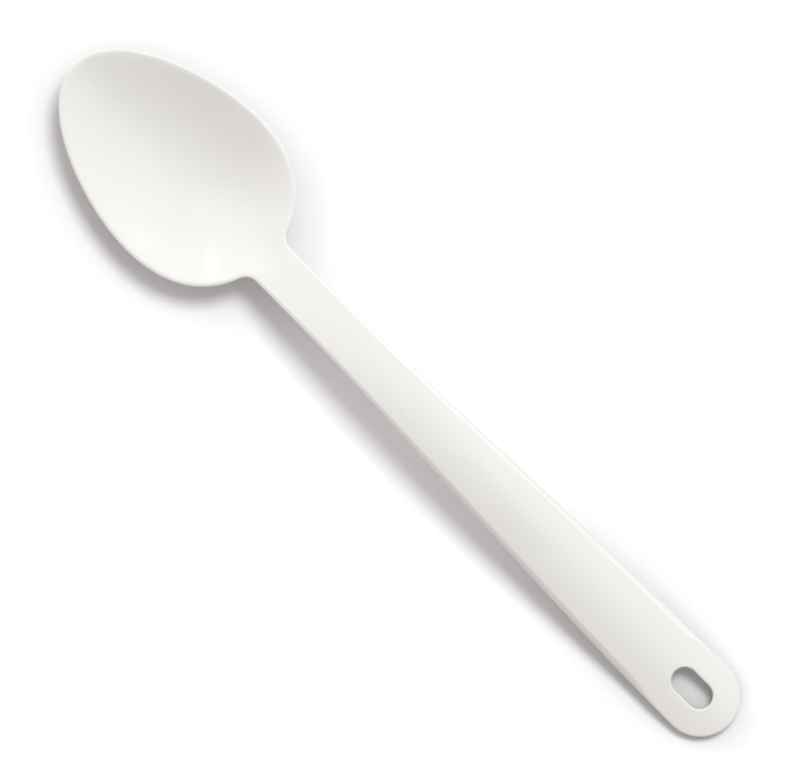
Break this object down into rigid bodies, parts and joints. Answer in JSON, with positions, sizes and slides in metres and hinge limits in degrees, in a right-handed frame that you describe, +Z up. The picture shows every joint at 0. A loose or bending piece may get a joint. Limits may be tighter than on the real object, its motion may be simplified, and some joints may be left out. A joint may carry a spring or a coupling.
{
  "type": "serving spoon",
  "caption": "Moulded plastic serving spoon: egg-shaped bowl, filleted neck, arched open-backed handle with rolled edges, and a hanging slot through its rounded end.",
  "frame": {"origin": "middle of the spoon's length and width, on the surface that it lies on", "axes": "+X along the spoon from the bowl to the end of the handle, +Y across it, +Z up out of the bowl"},
  "size_m": [0.2794, 0.0566, 0.0274],
  "materials": {
    "white_plastic": "polished moulded plastic, warm white"
  },
  "bodies": {
    "root": {"serving_spoon": "white_plastic"}
  },
  "joints": []
}
